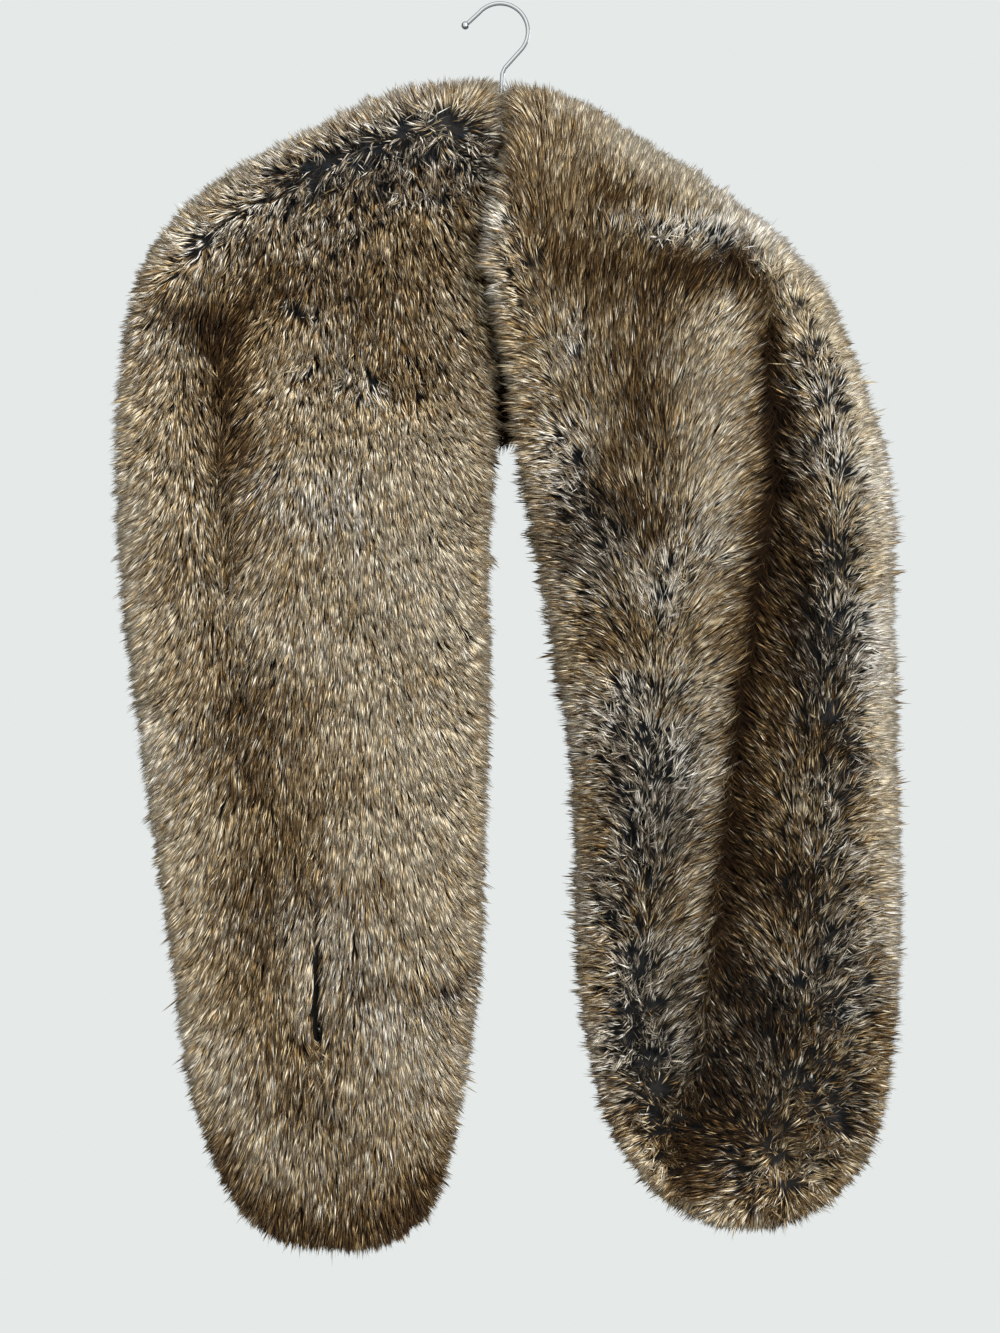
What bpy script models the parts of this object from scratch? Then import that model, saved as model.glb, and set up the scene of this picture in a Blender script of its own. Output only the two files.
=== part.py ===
"""A long fur wrap with round ends, hung over the arms of a clothes hanger.

Metres, +Z up. The front faces -Y and +X is to the right seen from the front.
The origin is the inner top of the hanger's hook, where a rail or peg carries it.
"""
import math
from collections import namedtuple

import bmesh
import bpy
from mathutils import Vector

# The cloth: a wall made of the backing and the standing pile on both of its sides
WALL = 0.029
EDGE_RADIUS = 0.015      # how far in from an edge the pile reaches its full depth
HOLLOW = 0.0062          # from an arm's centre line to the cloth that lies over it
FOLD_RADIUS = HOLLOW + WALL / 2
SEAM = 0.0003            # between two stretches, where the cloth turns over an arm

# The pull-through slit in the left end
SLIT_X = -0.1205
SLIT_TOP, SLIT_BOTTOM = -0.600, -0.697
SLIT_WIDTH = 0.0072

# The hanger's body and hook
ARM_HALF_DEPTH = 0.0056
ARM_NECK_HEIGHT, ARM_TIP_HEIGHT = 0.018, 0.013
ARM_REACH = 0.86         # how far along the cloth's ridge each arm goes
ARM_SIDES = 12
WIRE_RADIUS = 0.00145
BALL_RADIUS = 0.0027
BORE_GAP = 0.0003
HOOK_RADIUS = 0.01905    # of the wire's centre line

# How finely the cloth is drawn
ARC_ROWS = 4             # rows over a quarter turn round an arm
ROWS_A_SECTION = 2
NOSE_COLUMNS = 3
INNER_COLUMNS = 15

# The ridge lines over the two arms, through the middle of the wall, from the neck outwards
LEFT_RIDGE = (
    (-0.0038, -0.066),
    (-0.063, -0.0725),
    (-0.110, -0.0935),
    (-0.156, -0.116),
    (-0.192, -0.139),
    (-0.215, -0.162),
    (-0.2330, -0.1860),
)
RIGHT_RIDGE = (
    (0.0055, -0.067),
    (0.048, -0.0805),
    (0.091, -0.1065),
    (0.139, -0.136),
    (0.173, -0.163),
    (0.195, -0.187),
    (0.2155, -0.2110),
)

# A section crosses the band from its inner edge, which lies nearer the neck, to its outer
# one. The arch says how much of the arm's bent line the section keeps, and the three depths
# are those of the middle of the wall at its inner edge, its middle and its outer edge.
Section = namedtuple(
    "Section", "inner_x inner_z outer_x outer_z arch inner_y middle_y outer_y"
)
LEFT_SECTIONS = (
    Section(-0.0010, -0.125, -0.2530, -0.260, 0.80, -0.0190, -0.0225, -0.0205),
    Section(0.0000, -0.170, -0.2545, -0.292, 0.60, -0.0185, -0.0245, -0.0205),
    Section(-0.0005, -0.220, -0.2545, -0.325, 0.40, -0.0185, -0.0265, -0.0200),
    Section(-0.0025, -0.272, -0.2525, -0.360, 0.22, -0.0185, -0.0280, -0.0195),
    Section(-0.0055, -0.328, -0.2500, -0.400, 0.10, -0.0185, -0.0290, -0.0190),
    Section(-0.0085, -0.388, -0.2460, -0.442, 0.03, -0.0180, -0.0290, -0.0185),
    Section(-0.0082, -0.452, -0.2400, -0.490, 0.00, -0.0180, -0.0290, -0.0180),
    Section(-0.0100, -0.520, -0.2335, -0.542, 0.00, -0.0180, -0.0285, -0.0180),
    Section(-0.0118, -0.588, -0.2245, -0.600, 0.00, -0.0180, -0.0280, -0.0180),
    Section(-0.0148, -0.655, -0.2165, -0.660, 0.00, -0.0180, -0.0270, -0.0180),
    Section(-0.0225, -0.713, -0.2085, -0.715, 0.00, -0.0180, -0.0255, -0.0180),
    Section(-0.0295, -0.757, -0.1990, -0.757, 0.00, -0.0180, -0.0240, -0.0180),
    Section(-0.0360, -0.787, -0.1885, -0.787, 0.00, -0.0180, -0.0225, -0.0180),
    Section(-0.0445, -0.809, -0.1770, -0.809, 0.00, -0.0180, -0.0210, -0.0180),
    Section(-0.0580, -0.825, -0.1600, -0.825, 0.00, -0.0180, -0.0200, -0.0180),
    Section(-0.0720, -0.833, -0.1435, -0.833, 0.00, -0.0180, -0.0190, -0.0180),
    Section(-0.0900, -0.837, -0.1250, -0.837, 0.00, -0.0180, -0.0180, -0.0180),
)
RIGHT_SECTIONS = (
    Section(0.0000, -0.125, 0.2440, -0.278, 0.85, -0.0380, -0.0240, -0.0205),
    Section(-0.0095, -0.162, 0.2510, -0.302, 0.70, -0.0440, -0.0265, -0.0205),
    Section(-0.0075, -0.197, 0.2545, -0.326, 0.52, -0.0420, -0.0295, -0.0205),
    Section(0.0000, -0.237, 0.2555, -0.352, 0.35, -0.0345, -0.0320, -0.0205),
    Section(0.0075, -0.282, 0.2565, -0.382, 0.20, -0.0295, -0.0335, -0.0205),
    Section(0.0185, -0.332, 0.2570, -0.414, 0.10, -0.0250, -0.0340, -0.0200),
    Section(0.0275, -0.386, 0.2590, -0.449, 0.04, -0.0225, -0.0340, -0.0200),
    Section(0.0380, -0.442, 0.2615, -0.487, 0.00, -0.0210, -0.0330, -0.0195),
    Section(0.0480, -0.502, 0.2635, -0.529, 0.00, -0.0200, -0.0320, -0.0190),
    Section(0.0520, -0.562, 0.2650, -0.577, 0.00, -0.0195, -0.0305, -0.0190),
    Section(0.0525, -0.622, 0.2650, -0.628, 0.00, -0.0190, -0.0290, -0.0190),
    Section(0.0570, -0.680, 0.2630, -0.681, 0.00, -0.0190, -0.0275, -0.0190),
    Section(0.0650, -0.728, 0.2580, -0.728, 0.00, -0.0190, -0.0255, -0.0190),
    Section(0.0785, -0.764, 0.2490, -0.764, 0.00, -0.0190, -0.0240, -0.0190),
    Section(0.0955, -0.791, 0.2340, -0.791, 0.00, -0.0190, -0.0225, -0.0190),
    Section(0.1160, -0.809, 0.2130, -0.809, 0.00, -0.0190, -0.0210, -0.0190),
    Section(0.1350, -0.819, 0.1950, -0.819, 0.00, -0.0190, -0.0200, -0.0190),
    Section(0.1550, -0.8235, 0.1760, -0.8235, 0.00, -0.0190, -0.0190, -0.0190),
)
# Behind the neck the band fans round from the left arm to the right one. Its inner edge
# turns tightly behind the hook's stem and its outer edge is the hem across the back.
BACK_SECTIONS = (
    Section(-0.0037, -0.0872, -0.2350, -0.258, 0.75, 0.0205, 0.0215, 0.0205),
    Section(-0.0034, -0.0878, -0.2170, -0.281, 0.50, 0.0205, 0.0225, 0.0205),
    Section(-0.0029, -0.0885, -0.1860, -0.295, 0.30, 0.0205, 0.0235, 0.0205),
    Section(-0.0023, -0.0892, -0.1420, -0.302, 0.14, 0.0205, 0.0240, 0.0205),
    Section(-0.0016, -0.0898, -0.0930, -0.301, 0.05, 0.0205, 0.0245, 0.0205),
    Section(-0.0007, -0.0902, -0.0450, -0.294, 0.00, 0.0205, 0.0250, 0.0205),
    Section(0.0003, -0.0905, 0.0000, -0.286, 0.00, 0.0205, 0.0250, 0.0205),
    Section(0.0013, -0.0906, 0.0450, -0.290, 0.00, 0.0205, 0.0250, 0.0205),
    Section(0.0023, -0.0905, 0.0900, -0.300, 0.05, 0.0205, 0.0245, 0.0205),
    Section(0.0032, -0.0902, 0.1350, -0.309, 0.14, 0.0205, 0.0240, 0.0205),
    Section(0.0040, -0.0898, 0.1760, -0.311, 0.30, 0.0205, 0.0235, 0.0205),
    Section(0.0047, -0.0892, 0.2060, -0.303, 0.50, 0.0205, 0.0225, 0.0205),
    Section(0.0051, -0.0886, 0.2240, -0.284, 0.75, 0.0205, 0.0215, 0.0205),
)
# Where each front hangs level with its arm, beside the fold: inner x and outer x
LEFT_LEVEL = (-0.0035, -0.249)
RIGHT_LEVEL = (0.004, 0.234)
BACK_LEVEL = (-0.241, 0.228)

# A fold runs through a few places of the wall's middle, and rises outwards there, or sinks
# where the rise is negative. Its half width is where it has fallen to about a third.
Fold = namedtuple("Fold", "half_width places")
Place = namedtuple("Place", "x z rise")
LEFT_FOLDS = (
    Fold(0.017, (Place(-0.196, -0.196, 0.0), Place(-0.190, -0.240, -0.0040),
                 Place(-0.184, -0.320, -0.0065), Place(-0.172, -0.430, -0.0040),
                 Place(-0.165, -0.505, 0.0))),
    Fold(0.024, (Place(-0.222, -0.250, 0.0), Place(-0.221, -0.330, 0.0045),
                 Place(-0.215, -0.450, 0.0030), Place(-0.200, -0.560, 0.0))),
    Fold(0.015, (Place(-0.130, -0.252, 0.0), Place(-0.105, -0.260, -0.0035),
                 Place(-0.070, -0.264, -0.0045), Place(-0.038, -0.262, 0.0))),
    Fold(0.015, (Place(-0.128, -0.226, 0.0), Place(-0.085, -0.238, 0.0035),
                 Place(-0.040, -0.236, 0.0))),
    Fold(0.015, (Place(-0.095, -0.138, 0.0), Place(-0.065, -0.132, -0.0030),
                 Place(-0.035, -0.128, 0.0))),
    Fold(0.030, (Place(-0.150, -0.500, 0.0), Place(-0.150, -0.580, -0.0035),
                 Place(-0.130, -0.660, -0.0045), Place(-0.118, -0.740, 0.0))),
)
RIGHT_FOLDS = (
    Fold(0.027, (Place(0.172, -0.185, 0.0), Place(0.177, -0.235, -0.0090),
                 Place(0.184, -0.315, -0.0180), Place(0.177, -0.385, -0.0180),
                 Place(0.160, -0.460, -0.0160), Place(0.146, -0.560, -0.0135),
                 Place(0.134, -0.660, -0.0110), Place(0.130, -0.740, -0.0060),
                 Place(0.134, -0.800, 0.0))),
    Fold(0.026, (Place(0.204, -0.205, 0.0), Place(0.216, -0.260, 0.0100),
                 Place(0.226, -0.340, 0.0160), Place(0.222, -0.450, 0.0140),
                 Place(0.212, -0.560, 0.0100), Place(0.200, -0.680, 0.0060),
                 Place(0.190, -0.760, 0.0))),
    Fold(0.036, (Place(0.110, -0.190, 0.0), Place(0.112, -0.270, 0.0070),
                 Place(0.108, -0.380, 0.0090), Place(0.098, -0.520, 0.0080),
                 Place(0.092, -0.650, 0.0060), Place(0.098, -0.750, 0.0))),
    Fold(0.012, (Place(0.202, -0.500, 0.0), Place(0.222, -0.512, -0.0050),
                 Place(0.250, -0.519, -0.0050), Place(0.262, -0.520, 0.0))),
    Fold(0.014, (Place(0.085, -0.165, 0.0), Place(0.112, -0.158, -0.0035),
                 Place(0.138, -0.166, 0.0))),
)
# The back's gathers spread from the neck, all rising outwards, clear of the arms below
BACK_FOLDS = (
    Fold(0.012, (Place(-0.030, -0.112, 0.0), Place(-0.068, -0.150, 0.0055),
                 Place(-0.118, -0.205, 0.0040), Place(-0.155, -0.250, 0.0))),
    Fold(0.012, (Place(-0.015, -0.118, 0.0), Place(-0.038, -0.165, 0.0060),
                 Place(-0.066, -0.222, 0.0045), Place(-0.085, -0.268, 0.0))),
    Fold(0.012, (Place(0.000, -0.118, 0.0), Place(-0.004, -0.165, 0.0055),
                 Place(-0.010, -0.225, 0.0035), Place(-0.014, -0.262, 0.0))),
    Fold(0.012, (Place(0.016, -0.118, 0.0), Place(0.034, -0.166, 0.0065),
                 Place(0.052, -0.226, 0.0045), Place(0.064, -0.268, 0.0))),
    Fold(0.013, (Place(0.030, -0.118, 0.0), Place(0.072, -0.172, 0.0060),
                 Place(0.112, -0.232, 0.0050), Place(0.136, -0.276, 0.0))),
)

# The hook's wire from its tip, through the arc over the rail, to the stem in the hanger
BALL_CENTRE = (-0.0236, -0.0136)
ARC_CENTRE = (0.0, -(HOOK_RADIUS - WIRE_RADIUS))
ARC_START, ARC_END = 139.0, -38.0     # degrees, counted from +X towards +Z
STEM_KINK = (0.0032, -0.0425)
STEM_LOW = (0.0016, -0.0462)
STEM_FOOT = (-0.0012, -0.0900)
HOOK_ARC_POINTS = 22


def between(start, end, fraction):
    return start + (end - start) * fraction


def curve_at(rows, place):
    """The row at a fractional place of a table, on a smooth curve through its rows."""
    first = min(int(place), len(rows) - 2)
    f = place - first
    before = rows[max(first - 1, 0)]
    start, end = rows[first], rows[first + 1]
    after = rows[min(first + 2, len(rows) - 1)]
    values = [
        0.5 * (2 * b + (c - a) * f + (2 * a - 5 * b + 4 * c - d) * f ** 2
               + (3 * b - a - 3 * c + d) * f ** 3)
        for a, b, c, d in zip(before, start, end, after)
    ]
    return type(start)(*values) if hasattr(start, "_fields") else tuple(values)


class Ridge:
    """The bent line over one arm, walked by the share of its length from the neck."""

    FINE = 240

    def __init__(self, places):
        steps = [(len(places) - 1) * k / self.FINE for k in range(self.FINE + 1)]
        self.line = [Vector(curve_at(places, step)) for step in steps]
        self.lengths = [0.0]
        for start, end in zip(self.line, self.line[1:]):
            self.lengths.append(self.lengths[-1] + (end - start).length)

    def point(self, share):
        aim = min(max(share, 0.0), 1.0) * self.lengths[-1]
        k = 1
        while k < self.FINE and self.lengths[k] < aim:
            k += 1
        f = (aim - self.lengths[k - 1]) / (self.lengths[k] - self.lengths[k - 1])
        return self.line[k - 1].lerp(self.line[k], f)

    def upward(self, share):
        """The unit normal of the line, in the plane of the hanger, on its upper side."""
        run = self.point(share + 0.01) - self.point(share - 0.01)
        normal = Vector((-run.y, run.x)).normalized()
        return normal if normal.y > 0 else -normal

    def drop(self, share):
        """How far straight below the ridge the cloth hangs level with the arm's middle."""
        return FOLD_RADIUS / self.upward(share).y

    def arm_centre(self, share):
        return self.point(share) - self.upward(share) * FOLD_RADIUS


class Level:
    """The line in a hanging face, level with the arm's middle, where its fold has ended."""

    def __init__(self, ridge, inner_x, outer_x):
        self.ridge = ridge
        self.inner_shift = inner_x - ridge.point(0).x
        self.outer_shift = outer_x - ridge.point(1).x

    def point(self, share):
        place = self.ridge.point(share)
        shift = between(self.inner_shift, self.outer_shift, share)
        return Vector((place.x + shift, place.y - self.ridge.drop(share)))

    def bend(self, share):
        """How far the line departs there from a straight one between its ends."""
        return self.point(share) - self.point(0).lerp(self.point(1), share)


def shares_across(width):
    """Places across the band, from 0 to 1, closer together on its two rounded edges."""
    nose = min(EDGE_RADIUS, 0.4 * width) / width
    edge = [
        nose * (1 - math.cos(math.pi / 2 * k / NOSE_COLUMNS)) for k in range(NOSE_COLUMNS)
    ]
    middle = [
        nose + (1 - 2 * nose) * k / INNER_COLUMNS for k in range(INNER_COLUMNS + 1)
    ]
    return edge + middle + [1 - share for share in reversed(edge)]


def arc_row(level, turn, side):
    """The row of the fold over an arm at a turn of 0 on the ridge to 1 beside the arm."""
    angle = turn * math.pi / 2
    fallen = 1 - math.cos(angle)
    row = []
    for share in shares_across(level.ridge.lengths[-1]):
        top, low = level.ridge.point(share), level.point(share)
        x = between(top.x, low.x, fallen)
        z = between(top.y, low.y, fallen)
        row.append(Vector((x, side * FOLD_RADIUS * math.sin(angle), z)))
    return row


def hanging_row(section, level):
    """The row of a hanging face at one section."""
    inner = Vector((section.inner_x, section.inner_z))
    outer = Vector((section.outer_x, section.outer_z))
    row = []
    for share in shares_across((outer - inner).length):
        place = inner.lerp(outer, share)
        if section.arch > 0:
            place += level.bend(share) * section.arch
        y = (
            section.inner_y * (1 - share) * (1 - 2 * share)
            + section.middle_y * 4 * share * (1 - share)
            + section.outer_y * share * (2 * share - 1)
        )
        row.append(Vector((place.x, y, place.y)))
    return row


def level_section(level, side):
    """The section in which a hanging face begins, beside the arm."""
    inner, outer = level.point(0), level.point(1)
    y = side * FOLD_RADIUS
    return Section(inner.x, inner.y, outer.x, outer.y, 1.0, y, y, y)


def sections_between(table):
    """Every section that is drawn after the first, smoothly through the table's rows."""
    count = (len(table) - 1) * ROWS_A_SECTION
    return [curve_at(table, k / ROWS_A_SECTION) for k in range(1, count + 1)]


def nearest_on(path, x, z):
    """The distance to a path of places, and the rise of the path at its nearest point."""
    best = None
    for start, end in zip(path, path[1:]):
        run = Vector((end.x - start.x, end.z - start.z))
        reach = Vector((x - start.x, z - start.z))
        f = min(max(reach.dot(run) / run.length_squared, 0.0), 1.0)
        distance = (reach - run * f).length
        if best is None or distance < best[0]:
            best = (distance, between(start.rise, end.rise, f))
    return best


def rounded_path(places, steps=4):
    """The same path with its corners rounded off."""
    count = (len(places) - 1) * steps
    return [curve_at(places, k / steps) for k in range(count + 1)]


def fold_rise(folds, x, z):
    """How far the wall stands out there, with all its folds together."""
    total = 0.0
    for fold in folds:
        distance, rise = nearest_on(fold.places, x, z)
        total += rise * math.exp(-((distance / fold.half_width) ** 2))
    return total


def press_folds(rows, folds, side):
    """Moves the middle of the wall out or in along its folds."""
    folds = [fold._replace(places=rounded_path(fold.places)) for fold in folds]
    for row in rows:
        for point in row:
            point.y += side * fold_rise(folds, point.x, point.z)


def front_rows(level, table, folds):
    """The middle of a front's wall: over the arm and down to its round end."""
    side = -1
    rows = [arc_row(level, k / ARC_ROWS, side) for k in range(ARC_ROWS + 1)]
    hanging = sections_between((level_section(level, side),) + table)
    hanging_rows = [hanging_row(section, level) for section in hanging]
    press_folds(hanging_rows, folds, side)
    return rows + hanging_rows


def back_rows(left, right, table, folds):
    """The middle of the wall behind the neck, from the left ridge round to the right one."""
    side = 1
    over_left = [arc_row(left, k / ARC_ROWS, side) for k in range(ARC_ROWS + 1)]
    over_right = [arc_row(right, k / ARC_ROWS, side) for k in range(ARC_ROWS + 1)]
    whole = (level_section(left, side),) + table + (level_section(right, side),)
    hanging = sections_between(whole)[:-1]
    hanging_rows = [
        hanging_row(section, left if section.outer_x < 0 else right) for section in hanging
    ]
    press_folds(hanging_rows, folds, side)
    return over_left + hanging_rows + over_right[::-1]


def outward_normals(rows, outward):
    """Normals of the wall's middle, on the side that the given direction points to."""
    normals = []
    last_row, last = len(rows) - 1, len(rows[0]) - 1
    for k, row in enumerate(rows):
        found = []
        for i in range(last + 1):
            along = rows[min(k + 1, last_row)][i] - rows[max(k - 1, 0)][i]
            across = row[min(i + 1, last)] - row[max(i - 1, 0)]
            normal = along.cross(across).normalized()
            found.append(normal if normal.dot(outward) > 0 else -normal)
        normals.append(found)
    return normals


def distance_to_path(point, path):
    best = math.inf
    for start, end in zip(path, path[1:]):
        run, reach = end - start, point - start
        f = min(max(reach.dot(run) / max(run.length_squared, 1e-12), 0.0), 1.0)
        best = min(best, (reach - run * f).length)
    return best


def half_thickness(distance):
    """Half the wall, which is full inside and rounds off to nothing at an edge."""
    inside = 1 - min(distance / EDGE_RADIUS, 1.0)
    return WALL / 2 * math.sqrt(1 - inside ** 2)


def seat_seam(row, normals, side):
    """Puts a row on its side of the seam plane, so that its cut face is flat."""
    for point, normal in zip(row, normals):
        point.y = side * SEAM / 2
        normal.y = 0.0
        normal.normalize()


def cloth_wall(name, rows, side, seams, material):
    """A closed wall round its middle surface, given as rows from inner to outer edge.

    The rows named in seams end in a flat cut. A last row that is no seam is the round
    end of the band, where both faces of the wall meet in one line.
    """
    outward = Vector((0.0, side, 1.0))
    normals = outward_normals(rows, outward)
    for k in seams:
        seat_seam(rows[k], normals[k], side)
    inner_edge = [row[0] for row in rows]
    outer_edge = [row[-1] for row in rows]
    closed_end = -1 not in seams
    edges = [inner_edge + rows[-1] + outer_edge[::-1]] if closed_end else [
        inner_edge, outer_edge
    ]

    mesh = bmesh.new()
    faces_out, faces_in = [], []
    last = len(rows[0]) - 1
    for k, row in enumerate(rows):
        out_row, in_row = [], []
        for i, point in enumerate(row):
            half = half_thickness(min(distance_to_path(point, path) for path in edges))
            shared = i in (0, last) or (closed_end and k == len(rows) - 1)
            reach = Vector() if shared else normals[k][i] * half
            out_row.append(mesh.verts.new(point + reach))
            in_row.append(out_row[-1] if shared else mesh.verts.new(point - reach))
        faces_out.append(out_row)
        faces_in.append(in_row)
    for k in range(len(rows) - 1):
        for i in range(last):
            for skin in (faces_out, faces_in):
                mesh.faces.new(
                    (skin[k][i], skin[k][i + 1], skin[k + 1][i + 1], skin[k + 1][i])
                )
    for k in seams:
        for i in range(last):
            corners = (faces_out[k][i], faces_out[k][i + 1], faces_in[k][i + 1],
                       faces_in[k][i])
            mesh.faces.new(dict.fromkeys(corners))
    bmesh.ops.recalc_face_normals(mesh, faces=mesh.faces)
    return placed(name, mesh, material)


def placed(name, mesh, material):
    """Turns a bmesh into a named, smooth-shaded object of the scene."""
    data = bpy.data.meshes.new(name)
    mesh.to_mesh(data)
    mesh.free()
    data.shade_smooth()
    thing = bpy.data.objects.new(name, data)
    bpy.context.scene.collection.objects.link(thing)
    if material:
        data.materials.append(material)
    return thing


def finish(name, colour, roughness, metallic=0.0):
    material = bpy.data.materials.new(name)
    material.use_nodes = True
    shader = material.node_tree.nodes["Principled BSDF"]
    shader.inputs["Base Color"].default_value = (*colour, 1.0)
    shader.inputs["Roughness"].default_value = roughness
    shader.inputs["Metallic"].default_value = metallic
    return material


def combine(thing, other, operation):
    """Cuts another solid out of a thing or joins it on; the other stays as a hidden guide."""
    other.hide_render = True
    other.display_type = "WIRE"
    step = thing.modifiers.new("combine", "BOOLEAN")
    step.operation = operation
    step.object = other
    depsgraph = bpy.context.evaluated_depsgraph_get()
    result = bpy.data.meshes.new_from_object(thing.evaluated_get(depsgraph))
    thing.modifiers.remove(step)
    thing.data = result
    result.set_sharp_from_angle(angle=math.radians(40))


def slit_cutter():
    """A flat slot with round ends that runs through the cloth from front to back."""
    radius = SLIT_WIDTH / 2
    front, back, end_steps = -0.075, 0.015, 6
    outline = []
    for middle, first_angle in ((SLIT_TOP - radius, 0.0), (SLIT_BOTTOM + radius, math.pi)):
        for k in range(end_steps + 1):
            angle = first_angle + math.pi * k / end_steps
            outline.append(
                (SLIT_X + radius * math.cos(angle), middle + radius * math.sin(angle))
            )
    mesh = bmesh.new()
    face = mesh.faces.new([mesh.verts.new((x, front, z)) for x, z in outline])
    pulled = bmesh.ops.extrude_face_region(mesh, geom=[face])
    moved = [item for item in pulled["geom"] if isinstance(item, bmesh.types.BMVert)]
    bmesh.ops.translate(mesh, verts=moved, vec=(0.0, back - front, 0.0))
    bmesh.ops.recalc_face_normals(mesh, faces=mesh.faces)
    return placed("slit_cutter", mesh, None)


def hanger_arms(left, right, material):
    """The hanger's body: an oval bar that arches from tip to tip under the cloth."""
    steps = 14
    nearest_neck = 0.10
    reach = [between(nearest_neck, ARM_REACH, k / steps) for k in range(steps + 1)]
    path = [left.arm_centre(share) for share in reversed(reach)]
    path += [right.arm_centre(share) for share in reach]
    gap = len(reach) - 1
    path[gap + 1:gap + 1] = [Vector(curve_at(path, gap + k / 4)) for k in (1, 2, 3)]
    count = len(path) - 1
    mesh = bmesh.new()
    rings = []
    for k, place in enumerate(path):
        run = (path[min(k + 1, count)] - path[max(k - 1, 0)]).normalized()
        up = Vector((-run.y, run.x))
        from_middle = abs(2 * k / count - 1)
        half_height = between(ARM_NECK_HEIGHT, ARM_TIP_HEIGHT, from_middle) / 2
        from_tip = min(k, count - k) / 2
        slim = math.sqrt(1 - (1 - min(from_tip, 1.0)) ** 2 * 0.75)
        ring = []
        for side in range(ARM_SIDES):
            angle = 2 * math.pi * side / ARM_SIDES
            rise = half_height * slim * math.sin(angle) + ARM_HALF_DEPTH - half_height
            depth = ARM_HALF_DEPTH * slim * math.cos(angle)
            spot = place + up * rise
            ring.append(mesh.verts.new((spot.x, depth, spot.y)))
        rings.append(ring)
    for ring, following in zip(rings, rings[1:]):
        for side in range(ARM_SIDES):
            other = (side + 1) % ARM_SIDES
            mesh.faces.new((ring[side], ring[other], following[other], following[side]))
    for ring in (rings[0], rings[-1]):
        mesh.faces.new(ring)
    bmesh.ops.recalc_face_normals(mesh, faces=mesh.faces)
    return placed("hanger_arms", mesh, material)


def hook_path():
    """The wire's centre line in the hanger's plane, from the ball tip to the stem's foot."""
    arc = []
    for k in range(HOOK_ARC_POINTS + 1):
        angle = math.radians(between(ARC_START, ARC_END, k / HOOK_ARC_POINTS))
        arc.append((ARC_CENTRE[0] + HOOK_RADIUS * math.cos(angle),
                    ARC_CENTRE[1] + HOOK_RADIUS * math.sin(angle)))
    return [BALL_CENTRE] + arc + [STEM_KINK, STEM_LOW, STEM_FOOT]


def wire_tube(name, path, radius, material):
    """A round wire through points of the hanger's plane, with flat ends."""
    sides = 10
    points = [Vector((x, 0.0, z)) for x, z in path]
    mesh = bmesh.new()
    rings = []
    last = len(points) - 1
    for k, point in enumerate(points):
        run = (points[min(k + 1, last)] - points[max(k - 1, 0)]).normalized()
        across = Vector((-run.z, 0.0, run.x))
        ring = []
        for side in range(sides):
            angle = 2 * math.pi * side / sides
            offset = across * math.cos(angle) + Vector((0.0, 1.0, 0.0)) * math.sin(angle)
            ring.append(mesh.verts.new(point + offset * radius))
        rings.append(ring)
    for ring, following in zip(rings, rings[1:]):
        for side in range(sides):
            other = (side + 1) % sides
            mesh.faces.new((ring[side], ring[other], following[other], following[side]))
    for ring in (rings[0], rings[-1]):
        mesh.faces.new(ring)
    bmesh.ops.recalc_face_normals(mesh, faces=mesh.faces)
    return placed(name, mesh, material)


def hanger_hook(material):
    """The bent wire, with the small ball on its tip joined to it."""
    wire = wire_tube("hanger_hook", hook_path(), WIRE_RADIUS, material)
    mesh = bmesh.new()
    bmesh.ops.create_uvsphere(mesh, u_segments=12, v_segments=8, radius=BALL_RADIUS)
    x, z = BALL_CENTRE
    bmesh.ops.translate(mesh, verts=mesh.verts, vec=(x, 0.0, z))
    combine(wire, placed("ball_guide", mesh, None), "UNION")


def stem_bore():
    """The cutter for the hole in the hanger's body that holds the hook's stem."""
    foot, low = Vector(STEM_FOOT), Vector(STEM_LOW)
    run = (low - foot).normalized()
    bottom = foot - run * BORE_GAP
    path = [tuple(bottom), tuple(foot.lerp(low, 0.5))]
    return wire_tube("bore_cutter", path, WIRE_RADIUS + BORE_GAP, None)


def build():
    for thing in list(bpy.data.objects):
        bpy.data.objects.remove(thing, do_unlink=True)
    left_fur = finish("left fur", (0.170, 0.112, 0.066), 0.9)
    right_fur = finish("right fur", (0.185, 0.130, 0.082), 0.9)
    back_fur = finish("back fur", (0.178, 0.120, 0.073), 0.9)
    hanger_body = finish("hanger body", (0.030, 0.028, 0.027), 0.55)
    bright_wire = finish("bright wire", (0.80, 0.80, 0.81), 0.18, 1.0)

    left, right = Ridge(LEFT_RIDGE), Ridge(RIGHT_RIDGE)
    left_front = cloth_wall(
        "left_front",
        front_rows(Level(left, *LEFT_LEVEL), LEFT_SECTIONS, LEFT_FOLDS),
        -1, (0,), left_fur,
    )
    combine(left_front, slit_cutter(), "DIFFERENCE")
    cloth_wall(
        "right_front",
        front_rows(Level(right, *RIGHT_LEVEL), RIGHT_SECTIONS, RIGHT_FOLDS),
        -1, (0,), right_fur,
    )
    left_back = Level(left, LEFT_LEVEL[0], BACK_LEVEL[0])
    right_back = Level(right, right.point(0).x, BACK_LEVEL[1])
    cloth_wall(
        "neck_back",
        back_rows(left_back, right_back, BACK_SECTIONS, BACK_FOLDS),
        1, (0, -1), back_fur,
    )
    combine(hanger_arms(left, right, hanger_body), stem_bore(), "DIFFERENCE")
    hanger_hook(bright_wire)


build()
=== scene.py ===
"""A long fur wrap with round ends, hung over the arms of a clothes hanger with a wire hook."""

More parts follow.
